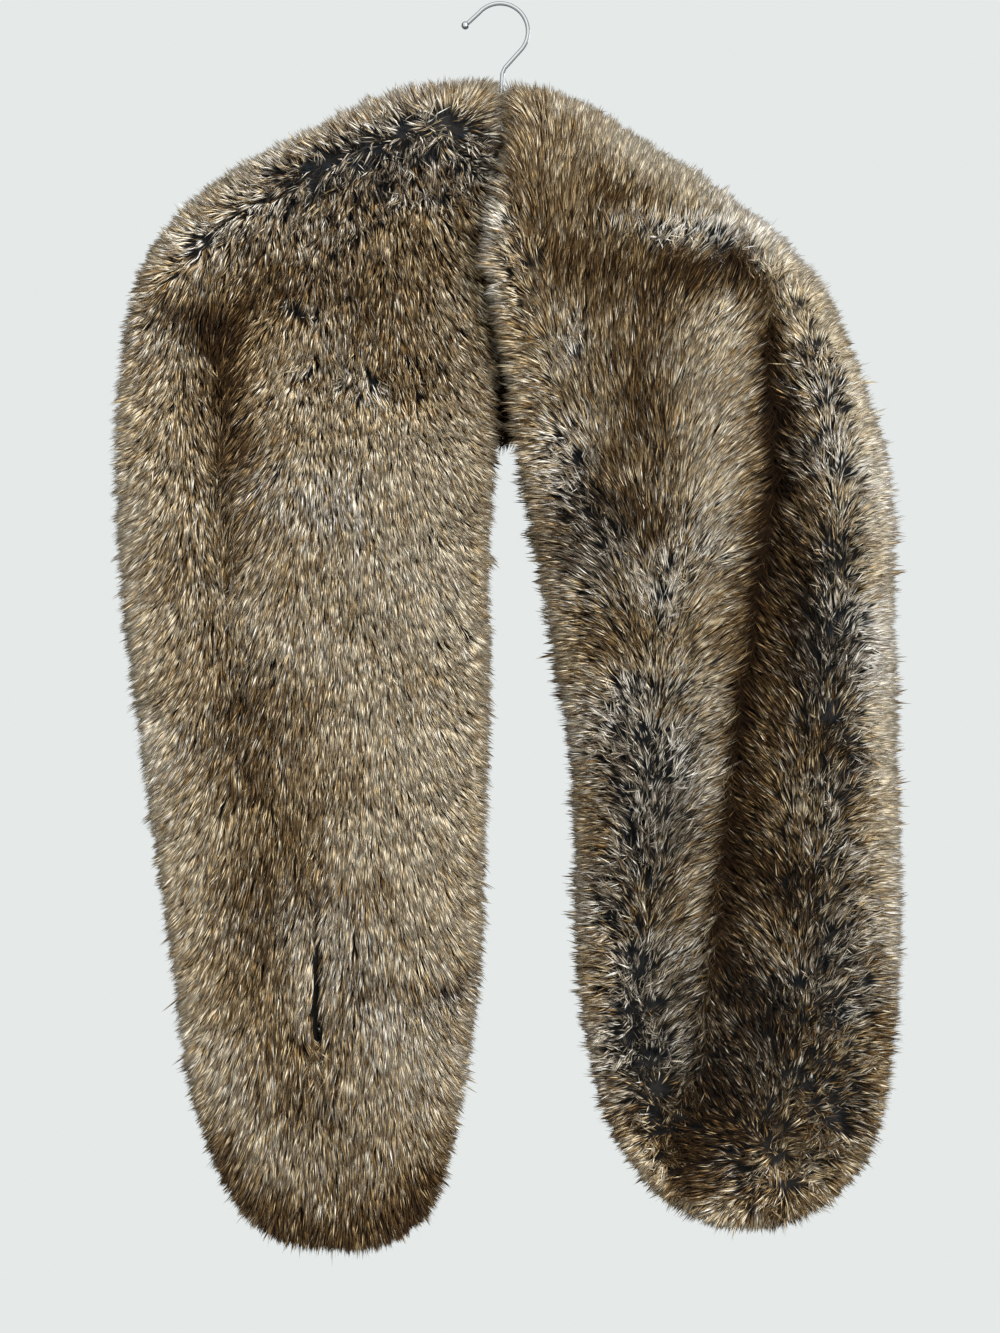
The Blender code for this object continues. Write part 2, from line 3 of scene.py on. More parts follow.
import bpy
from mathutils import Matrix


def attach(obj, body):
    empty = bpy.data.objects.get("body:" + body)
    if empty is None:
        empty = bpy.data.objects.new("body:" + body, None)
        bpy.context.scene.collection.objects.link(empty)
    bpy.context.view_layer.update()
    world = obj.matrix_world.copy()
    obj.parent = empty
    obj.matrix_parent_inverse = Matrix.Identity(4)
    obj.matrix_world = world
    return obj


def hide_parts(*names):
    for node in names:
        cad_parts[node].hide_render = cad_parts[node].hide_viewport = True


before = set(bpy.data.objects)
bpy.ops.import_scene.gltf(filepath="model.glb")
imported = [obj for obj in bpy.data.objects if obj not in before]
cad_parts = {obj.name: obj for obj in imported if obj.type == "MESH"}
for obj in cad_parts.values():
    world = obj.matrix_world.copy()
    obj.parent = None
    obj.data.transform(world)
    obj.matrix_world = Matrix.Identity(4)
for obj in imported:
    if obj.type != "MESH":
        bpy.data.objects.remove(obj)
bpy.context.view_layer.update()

import math
from collections import namedtuple

import bpy
import numpy as np
from mathutils import Vector
from mathutils.kdtree import KDTree

# The photographer stands level with the middle of the wrap, a good arm's length and a half
# away, and sees it square on. The frame of 1000 by 1333 has 0.68 mm a pixel at the hanger.
PICTURE_HEIGHT = 1333
METRES_A_PIXEL = 0.00068
EYE_HEIGHT = -0.4495
EYE_DISTANCE = 1.15
SENSOR = 36.0

camera_data = bpy.data.cameras.new("camera")
camera_data.sensor_width = SENSOR
camera_data.lens = SENSOR * EYE_DISTANCE / (PICTURE_HEIGHT * METRES_A_PIXEL)
camera = bpy.data.objects.new("camera", camera_data)
camera.location = (0.0, -EYE_DISTANCE, EYE_HEIGHT)
camera.rotation_euler = (math.pi / 2, 0.0, 0.0)
bpy.context.scene.collection.objects.link(camera)
bpy.context.scene.camera = camera
bpy.context.scene.view_settings.view_transform = "Standard"


# The hanger's body is a moulded bar under the cloth, dark and slightly rough. Only its
# undersides show, from below, between the two layers of the wrap.
def shade(red, green, blue):
    """A colour seen as these amounts of 255, as the shader's linear numbers."""
    return tuple(
        part / 12.92 if part <= 0.04045 else ((part + 0.055) / 1.055) ** 2.4
        for part in (red / 255, green / 255, blue / 255)
    )


class Wire:
    """One output in a material's node tree. Sums and products of wires add nodes."""

    def __init__(self, tree, socket):
        self.tree, self.socket = tree, socket

    def node(self, kind, inputs, output=0, **settings):
        """Adds a node: its settings first, then the values or wires of its sockets."""
        made = self.tree.nodes.new(kind)
        stops = settings.pop("stops", None)
        for name, value in settings.items():
            setattr(made, name, value)
        if stops:
            ramp = made.color_ramp
            while len(ramp.elements) < len(stops):
                ramp.elements.new(0.5)
            for element, (place, colour) in zip(ramp.elements, stops):
                element.position, element.color = place, (*colour, 1.0)
        for name, value in inputs.items():
            if isinstance(value, Wire):
                self.tree.links.new(value.socket, made.inputs[name])
            else:
                made.inputs[name].default_value = value
        return Wire(self.tree, made.outputs[output])

    def maths(self, operation, first, second=0.0):
        return self.node("ShaderNodeMath", {0: first, 1: second}, operation=operation)

    def __add__(self, other):
        return self.maths("ADD", self, other)

    def __sub__(self, other):
        return self.maths("SUBTRACT", self, other)

    def __rsub__(self, other):
        return self.maths("SUBTRACT", other, self)

    def __mul__(self, other):
        return self.maths("MULTIPLY", self, other)

    __radd__, __rmul__ = __add__, __mul__

    def step(self, low, high):
        """0 below low and 1 above high, smooth between them."""
        return self.node(
            "ShaderNodeMapRange",
            {"Value": self, "From Min": low, "From Max": high},
            interpolation_type="SMOOTHSTEP",
        )

    def colours(self, *stops):
        return self.node("ShaderNodeValToRGB", {"Fac": self}, stops=stops)

    def blend(self, first, second):
        """A colour that goes from the first to the second as this wire goes from 0 to 1."""
        first, second = (
            c if isinstance(c, Wire) else (*c, 1.0) for c in (first, second)
        )
        return self.node(
            "ShaderNodeMix", {"Factor": self, 6: first, 7: second}, 2, data_type="RGBA"
        )


def new_material(name, roughness, **constants):
    """A material, its shader, and a wire to start from: the place on the surface."""
    material = bpy.data.materials.new(name)
    material.use_nodes = True
    tree = material.node_tree
    shader = tree.nodes["Principled BSDF"]
    shader.inputs["Roughness"].default_value = roughness
    for socket, value in constants.items():
        shader.inputs[socket.replace("_", " ")].default_value = value
    place = tree.nodes.new("ShaderNodeTexCoord")
    return material, shader, Wire(tree, place.outputs["Object"])


def feed(shader, socket, wire):
    wire.tree.links.new(wire.socket, shader.inputs[socket])


def noise(place, scale, detail=2.0):
    return place.node(
        "ShaderNodeTexNoise", {"Vector": place, "Scale": scale, "Detail": detail}
    )


def bumped(shader, height, distance, strength=0.5):
    normal = height.node(
        "ShaderNodeBump", {"Height": height, "Distance": distance, "Strength": strength}
    )
    feed(shader, "Normal", normal)


moulded, shader, place = new_material("moulded body", 0.5)
feed(shader, "Base Color", noise(place, 40).colours(
    (0.3, shade(38, 36, 34)), (0.7, shade(56, 53, 50))))
feed(shader, "Roughness", noise(place, 180) * 0.25 + 0.4)
bumped(shader, noise(place, 900), 0.0002)
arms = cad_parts["hanger_arms"]
arms.data.materials.clear()
arms.data.materials.append(moulded)


# The hook is one bent wire with a bright plated finish and a small ball on its free tip.
# Its stem goes straight down through the notch between the two ends of the cloth. The pale
# and dark bands that plating shows in a room are painted into the wire's colour by the way
# its surface faces: a painted reflection.
plated, shader, place = new_material("plated wire", 0.2, Metallic=1.0)
# Painted reflection: palest where the wire faces front or back, a dark band next to that, grey at
# its sides.
painted_reflection_facing = place.node("ShaderNodeSeparateXYZ", {
    "Vector": Wire(place.tree, place.socket.node.outputs["Normal"])}, 1)
feed(shader, "Base Color", painted_reflection_facing.maths("ABSOLUTE", painted_reflection_facing).colours(
    (0.0, shade(150, 153, 158)), (0.3, shade(78, 81, 88)), (0.75, shade(108, 111, 118)),
    (0.93, shade(246, 247, 249)), (1.0, shade(252, 252, 252))))
feed(shader, "Roughness", noise(place, 420) * 0.12 + 0.12)
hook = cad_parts["hanger_hook"]
hook.data.materials.clear()
hook.data.materials.append(plated)
hook.data.shade_smooth()


# The hanging end on the left is cloth with a dense, soft pile on both of its sides. The
# woven backing lies in the middle of the wall and is only just seen where the pile parts.
PILE_DEPTH = 0.0115          # from the outside of the pile down to the backing
SLIT = (-0.1205, -0.600, -0.697, 0.0036)     # x, top, bottom and half width
SLIT_SHOWS = 0.25            # share of the pile's slit that is left between the backings

Skin = namedtuple("Skin", "points corners normals open")


def skin_of(node):
    """The welded points of a solid, its triangles, smooth normals, and what bears pile.

    The flat cuts at the seams and the walls of the slit bear none and don't bend the
    normals, so the pile runs on over a seam and stands up to the slit's edges.
    """
    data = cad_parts[node].data
    data.calc_loop_triangles()
    raw = np.empty(len(data.vertices) * 3)
    data.vertices.foreach_get("co", raw)
    corners = np.empty(len(data.loop_triangles) * 3, np.int64)
    data.loop_triangles.foreach_get("vertices", corners)
    points, welded = np.unique(
        np.round(raw.reshape(-1, 3) * 1e6).astype(np.int64), axis=0, return_inverse=True
    )
    points = points / 1e6
    corners = welded.reshape(-1)[corners].reshape(-1, 3)
    a, b, c = (points[corners[:, k]] for k in range(3))
    crossed = np.cross(b - a, c - a)
    size = np.linalg.norm(crossed, axis=1)
    kept = size > 1e-12
    corners, crossed, size = corners[kept], crossed[kept], size[kept]
    facing = crossed / size[:, None]
    middle = points[corners].mean(axis=1)
    seam = (np.abs(middle[:, 1]) < 0.0004) & (np.abs(facing[:, 1]) > 0.98)
    x, top, bottom, half = SLIT
    slit = (
        (np.abs(middle[:, 0] - x) < half * 1.2) & (middle[:, 2] < top + half)
        & (middle[:, 2] > bottom - half) & (np.abs(facing[:, 1]) < 0.4)
    )
    bare = seam | (slit if node == "left_front" else False)
    normals = np.zeros_like(points)
    for k in range(3):
        np.add.at(normals, corners[~bare, k], crossed[~bare])
    length = np.linalg.norm(normals, axis=1, keepdims=True)
    return Skin(points, corners, normals / np.maximum(length, 1e-12), ~bare)


def backing(name, node, finish):
    """The woven cloth in the middle of the wall, a thin closed shell."""
    skin = skin_of(node)
    points = skin.points - skin.normals * PILE_DEPTH
    if node == "left_front":
        x, top, bottom, half = SLIT
        past_end = np.maximum(points[:, 2] - top, bottom - points[:, 2]).clip(0)
        near = np.hypot(skin.points[:, 0] - x, past_end) < half * 1.3
        points[near, 0] = x + (points[near, 0] - x) * SLIT_SHOWS
    data = bpy.data.meshes.new(name)
    data.from_pydata(points.tolist(), [], skin.corners.tolist())
    data.shade_smooth()
    data.materials.append(finish)
    thing = bpy.data.objects.new(name, data)
    bpy.context.scene.collection.objects.link(thing)
    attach(thing, "root")
    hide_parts(node)
    return thing


# Painted shade: the backing is coloured near black, so that where the pile parts it reads as deep
# shadow.
woven, shader, place = new_material("woven backing", 0.9)
feed(shader, "Base Color", noise(place, 300).colours(
    (0.3, shade(12, 13, 15)), (0.7, shade(32, 27, 22))))
bumped(shader, noise(place, 1500), 0.0004)


# The pile. Each blade is a few fine hairs: it rises from the backing, bends over with the
# nap, is widest at the bend and ends in a point, and neighbours' tips gather into locks.
# Its colour runs from a slate root through a cream or brown middle to a dark tip.
#
# A pile has the width and greatest length of its blades, how far it stands proud of the
# solid, how steeply a blade rises below its bend and lies above it, how far blades stray and
# curl, how many share a lock, and how little of the hair is grey.
#
# A trait is a line through places in x and z. Within about its reach the nap is pulled to
# it, the hair is darker (or paler, below zero), parted, and longer by a share (or shorter).
Pile = namedtuple("Pile", "width longest proud rise lay stray curl lock warmth")
Trait = namedtuple("Trait", "reach pull tone parted places longer", defaults=(0.0,))

LOW_SHARE = 0.55             # of a blade's length, below its bend
SHORTEST = 0.010
LOCKS_A_TUFT = 5
TUFT_REACH = 0.010           # how far a tuft draws in the tips round it
MAP_STRIP = 0.002            # from a blade's middle to its sides, across the colour map

random = np.random.default_rng(7)
lattice = random.random((48, 48, 48))


def soft_field(points, size, shift):
    """Smooth random heights from -1 to 1 over places, with hills about as wide as size."""
    spot = points / size + shift
    first = np.floor(spot).astype(np.int64)
    f = spot - first
    f = f * f * (3 - 2 * f)
    total = 0.0
    for i in (0, 1):
        for j in (0, 1):
            for k in (0, 1):
                share = (
                    (f[:, 0] if i else 1 - f[:, 0]) * (f[:, 1] if j else 1 - f[:, 1])
                    * (f[:, 2] if k else 1 - f[:, 2])
                )
                at = (first + (i, j, k)) % 48
                total = total + share * lattice[at[:, 0], at[:, 1], at[:, 2]]
    return total * 2 - 1


def slope_of_field(points, size, shift):
    """Which way a soft field rises, across x, y and z."""
    here = soft_field(points, size, shift)
    step = np.eye(3) * size * 0.2
    return np.stack(
        [soft_field(points + step[k], size, shift) - here for k in range(3)], axis=1
    )


def near_line(places, flat_points):
    """Distance of points from a line of places, and the way to it."""
    best = np.full(len(flat_points), np.inf)
    way = np.zeros_like(flat_points)
    places = np.array(places)
    for start, end in zip(places, places[1:]):
        run = end - start
        f = ((flat_points - start) @ run / (run @ run)).clip(0, 1)
        reach = start + f[:, None] * run - flat_points
        distance = np.linalg.norm(reach, axis=1)
        closer = distance < best
        best[closer] = distance[closer]
        way[closer] = reach[closer]
    return best, way / np.maximum(best, 1e-6)[:, None]


def scatter(skin, weights, count):
    """Places and normals spread evenly by weight over the skin's triangles."""
    a, b, c = (skin.points[skin.corners[:, k]] for k in range(3))
    area = np.linalg.norm(np.cross(b - a, c - a), axis=1) * weights * skin.open
    edges = np.cumsum(area) / area.sum()
    picks = (np.arange(count) + random.random(count)) / count
    found = np.searchsorted(edges, picks).clip(0, len(edges) - 1)
    root, along = np.sqrt(random.random(count)), random.random(count)
    shares = np.stack([1 - root, root * (1 - along), root * along], axis=1)
    corners = skin.corners[found]
    place = (skin.points[corners] * shares[:, :, None]).sum(axis=1)
    normal = (skin.normals[corners] * shares[:, :, None]).sum(axis=1)
    return place, unit(normal)


def unit(vectors):
    return vectors / np.maximum(np.linalg.norm(vectors, axis=1, keepdims=True), 1e-9)


def comb(place, normal, flow, traits):
    """The nap's flow, the tone, how far the pile is parted and the change of its length.

    The nap gathers in the valleys and spreads from the ridges and at the rims. The traits'
    lines are followed loosely, as a hand leaves them in a pile.
    """
    flow = flow + normal * (1, 0, 1) * 0.9
    flat = place[:, [0, 2]] + 0.006 * np.stack(
        [soft_field(place, 0.022, 2.2), soft_field(place, 0.022, 8.8)], axis=1)
    patchy = 0.75 + 0.6 * soft_field(place, 0.016, 4.4)
    tone, parted, longer = np.zeros((3, len(place)))
    for trait in traits:
        distance, way = near_line(trait.places, flat)
        share = distance / trait.reach * np.exp(0.5 - 0.5 * (distance / trait.reach) ** 2)
        flow[:, 0] += way[:, 0] * share * trait.pull
        flow[:, 2] += way[:, 1] * share * trait.pull
        core = np.exp(-((distance / trait.reach) ** 2))
        tone += core * trait.tone
        parted += core * trait.parted * patchy
        longer += core * trait.longer
    strength = np.linalg.norm(flow, axis=1, keepdims=True)
    flow = flow / np.maximum(strength, 1.0)
    tufts = unit(slope_of_field(place, 0.009, 5.1) * (1, 0.2, 1))
    flow = flow + tufts * (1 - strength).clip(0, 1) * 0.9
    return flow, tone, parted.clip(0, 1), longer


def gathered(place, count):
    """Some of the blades as leads, and for every blade the number of its nearest lead."""
    leads = random.choice(len(place), count, replace=False)
    tree = KDTree(count)
    for k, lead in enumerate(leads):
        tree.insert(place[lead], k)
    tree.balance()
    return leads, np.array([tree.find(spot)[1] for spot in place])


def grow(pile, place, normal, flow, tone, parted, longer):
    """The points of every blade, four a blade, and their places on the colour map."""
    count = len(place)
    parted = parted[:, None]
    leads, lock = gathered(place, count // pile.lock)
    tufts, tuft = gathered(place, count // (pile.lock * LOCKS_A_TUFT))
    flow = (
        flow + slope_of_field(place, 0.030, 3.1) * 0.5
        + slope_of_field(place, 0.0085, 9.7) * pile.curl * (0.25 + 1.25 * parted)
        + random.normal(0, 0.2, (len(tufts), 3))[tuft] * parted
        + random.normal(0, 1, (len(leads), 3))[lock] * (0.12 + 0.2 * parted)
        + random.normal(0, pile.stray, (count, 3))
    )
    kink = slope_of_field(place, 0.0055, 12.3) * pile.curl * (0.35 + 0.65 * parted)
    lower = unit(normal * (pile.rise + 0.1 * parted) + flow)
    upper = unit(normal * (pile.lay + 0.1 * parted) + flow + kink)
    standing = LOW_SHARE * (lower * normal).sum(1) + (1 - LOW_SHARE) * (upper * normal).sum(1)
    length = ((PILE_DEPTH + pile.proud) / np.maximum(standing, 0.1)).clip(SHORTEST, pile.longest)
    rim = 1 - np.abs(normal[:, 1:2])
    uneven = random.normal(1.0, 0.12, count).clip(0.6, 1.3) + 0.09 * soft_field(place, 0.010, 7.7)
    ragged = random.normal(0.0, 0.16, len(tufts)).clip(-0.25, 0.35)[tuft]
    ragged = ragged + random.normal(0.0, 0.09, count).clip(-0.1, 0.2)
    length = length * (uneven + longer + rim[:, 0] * ragged)
    root = place - normal * PILE_DEPTH
    bend = root + lower * (LOW_SHARE * length)[:, None]
    tip = bend + upper * ((1 - LOW_SHARE) * length)[:, None]

    hold = 0.5 * (1 - 0.2 * rim)
    tip = tip + (tip[leads[lock]] - tip) * hold
    bend = bend + (bend[leads[lock]] - bend) * hold * 0.4
    to_tuft = tip[tufts[tuft]] - tip
    near = np.exp(-((np.linalg.norm(to_tuft, axis=1, keepdims=True) / TUFT_REACH) ** 2))
    tip = tip + to_tuft * near * (0.4 * parted + 0.35 * rim).clip(0, 0.5)

    across = unit(np.cross(upper, normal))
    other = np.cross(upper, across)
    rim = rim[:, 0]
    turn = random.normal(0, 0.6, count) + rim * random.uniform(-1.3, 1.3, count)
    across = across * np.cos(turn)[:, None] + other * np.sin(turn)[:, None]
    half = pile.width / 2 * random.normal(1.0, 0.2, count).clip(0.5, 1.6)
    points = np.stack(
        [root, bend - across * half[:, None], tip, bend + across * half[:, None]], axis=1
    )
    # Along the rims the hair is paler, most where they face up or sideways and not where they face
    # down: a painted highlight on top of the cream that hairs seen side on show.
    tone = (
        tone + soft_field(place, 0.040, 1.3) * 0.16 + soft_field(place, 0.014, 5.9) * 0.04
        + random.normal(0, 1, len(leads))[lock] * (0.11 + 0.13 * parted[:, 0])
        + random.normal(0, 1, len(tufts))[tuft] * 0.15 * rim
        + random.normal(0, 0.32, count) * (1.25 - 0.7 * tone).clip(0.7, 1.25)
        - 0.58 * rim * (0.75 + normal[:, 2]).clip(0, 1)
    ).clip(0.01, 0.99)
    parted = parted[:, 0]
    at_root = 0.38 * (1 - parted)
    at_bend = 0.64 - 0.12 * parted + 0.09 * rim + random.normal(0, 0.06, count)
    # Painted highlight too: on those same rims the dark tips are shorter.
    at_tip = 1.0 - 0.10 * parted - 0.06 * rim * (0.75 + normal[:, 2]).clip(0, 1)
    greyness = soft_field(place, 0.055, 25.0) * 0.5 + parted * 0.9 + rim * 0.25
    grey = greyness + random.normal(0, 0.3, count) > pile.warmth
    across_map = (tone + grey) / 2
    on_map = np.stack([
        np.stack([across_map, at_root], 1),
        np.stack([across_map - MAP_STRIP, at_bend], 1),
        np.stack([across_map, at_tip], 1),
        np.stack([across_map + MAP_STRIP, at_bend], 1),
    ], axis=1)
    return points, on_map


def blades(name, points, on_map, finish):
    """One mesh of many blades, two triangles a blade."""
    count = len(points)
    data = bpy.data.meshes.new(name)
    data.vertices.add(count * 4)
    data.vertices.foreach_set("co", points.astype(np.float32).ravel())
    corners = np.arange(count)[:, None] * 4 + np.array([0, 1, 3, 1, 2, 3])
    data.loops.add(count * 6)
    data.loops.foreach_set("vertex_index", corners.ravel().astype(np.int32))
    data.polygons.add(count * 2)
    data.polygons.foreach_set("loop_start", np.arange(0, count * 6, 3, dtype=np.int32))
    data.update(calc_edges=True)
    layer = data.uv_layers.new(name="OFBake")
    uv = on_map.reshape(-1, 2)[corners.ravel()]
    layer.data.foreach_set("uv", uv.astype(np.float32).ravel())
    data.materials.append(finish)
    thing = bpy.data.objects.new(name, data)
    bpy.context.scene.collection.objects.link(thing)
    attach(thing, "root")
    return thing


def fur_finish(name):
    """Pile whose colour depends on its place on the map.

    Up the map is up the hair. The left half of the map is warm hair and the right half grey
    hair, and each half runs from pale on its left to dark on its right.
    """
    material, shader, place = new_material(
        name, 0.6, Sheen_Weight=0.02, Sheen_Roughness=0.5, Specular_IOR_Level=0.08
    )
    on_map = place.node("ShaderNodeUVMap", {}, uv_map="OFBake")
    across_map = place.node("ShaderNodeSeparateXYZ", {"Vector": on_map})
    up = Wire(across_map.tree, across_map.socket.node.outputs["Y"])
    lock = across_map.node("ShaderNodeTexNoise", {"W": across_map, "Scale": 280.0, "Detail": 0.0},
                           noise_dimensions="1D")
    up = up + (lock - 0.5) * 0.22
    tone = (across_map * 2.0).maths("FRACT", across_map * 2.0)
    grey = across_map.maths("GREATER_THAN", across_map, 0.5)
    middle = grey.blend(tone.colours(*WARM_HAIR), tone.colours(*GREY_HAIR))
    to_tip = up.step(0.68, 0.86).blend(middle, (up * 0.85).blend(middle, TIP))
    low = up.step(0.30, 0.45).blend(ROOT, grey.blend(UNDER, GREY_UNDER))
    feed(shader, "Base Color", up.step(0.40, 0.62).blend(low, to_tip))
    return material


def edges_of(skin):
    """How far the panel reaches to each side, level by level."""
    heights = skin.points[:, 2]
    levels = np.linspace(heights.min(), heights.max(), 40)
    low, high = [], []
    for level in levels:
        near = np.abs(heights - level) < 0.022
        low.append(skin.points[near, 0].min())
        high.append(skin.points[near, 0].max())
    return levels, np.array(low), np.array(high)


def across_panel(place, skin):
    """Where a place is across its panel, from -1 at the left edge to 1 at the right one."""
    levels, low, high = edges_of(skin)
    centre = np.interp(place[:, 2], levels, (low + high) / 2)
    half_width = np.interp(place[:, 2], levels, (high - low) / 2)
    return ((place[:, 0] - centre) / half_width).clip(-1, 1)


def pile_pieces(names, skin, weights, count, pile, flow_of, base_tone, traits, finish):
    """Pile over part of a skin, cut by height into as many meshes as there are names."""
    place, normal = scatter(skin, weights, count)
    flow, tone, parted, longer = comb(place, normal, flow_of(place), traits)
    points, on_map = grow(pile, place, normal, flow, tone + base_tone, parted, longer)
    shares = np.array_split(np.argsort(place[:, 2]), len(names))
    return [blades(name, points[share], on_map[share], finish)
            for name, share in zip(names, shares)]


def face_facing(skin):
    return skin.normals[skin.corners].mean(axis=1)[:, 1]


FRONT_BLADES, REVERSE_BLADES = 150000, 60000
PILE = Pile(0.00062, 0.022, 0.0015, 1.0, 0.65, 0.06, 1.6, 4, 0.45)
REVERSE_PILE = Pile(0.0015, 0.024, 0.0015, 0.85, 0.45, 0.08, 1.6, 4, 0.45)
WARM_HAIR = (
    (0.00, shade(255, 243, 218)), (0.30, shade(228, 203, 158)), (0.55, shade(158, 125, 80)),
    (0.80, shade(80, 56, 28)), (1.00, shade(28, 17, 8)),
)
GREY_HAIR = (
    (0.00, shade(255, 250, 242)), (0.30, shade(222, 209, 188)), (0.55, shade(148, 134, 115)),
    (0.80, shade(68, 61, 51)), (1.00, shade(22, 22, 23)),
)
# The slate root and the dark lower hair are partly their own colours and partly painted shade:
# they are kept dark so that the gaps between the locks look deeply shaded.
ROOT = shade(42, 50, 58)
UNDER = shade(38, 26, 13)
GREY_UNDER = shade(43, 42, 38)
TIP = shade(46, 30, 14)
HEM = -0.285                 # above this the back hangs behind the fronts and hides them
HIDDEN = 0.12                # share of the pile that is kept where nothing shows
TO_BACK = 0.15               # a triangle that faces the back more than this is the reverse
FLAT_ON = 0.6                # and past this it faces it flat on
LEFT_PARTING = ((-0.215, -0.180), (-0.180, -0.147), (-0.136, -0.118), (-0.090, -0.100),
                (-0.045, -0.088), (0.0, -0.080))
SLIT_LINE = ((-0.1205, -0.600), (-0.1205, -0.697))
NOTCH_LINE = ((0.001, -0.050), (0.001, -0.088))
NECK_GAP = ((-0.010, -0.168), (-0.004, -0.205), (0.002, -0.240), (0.010, -0.310))
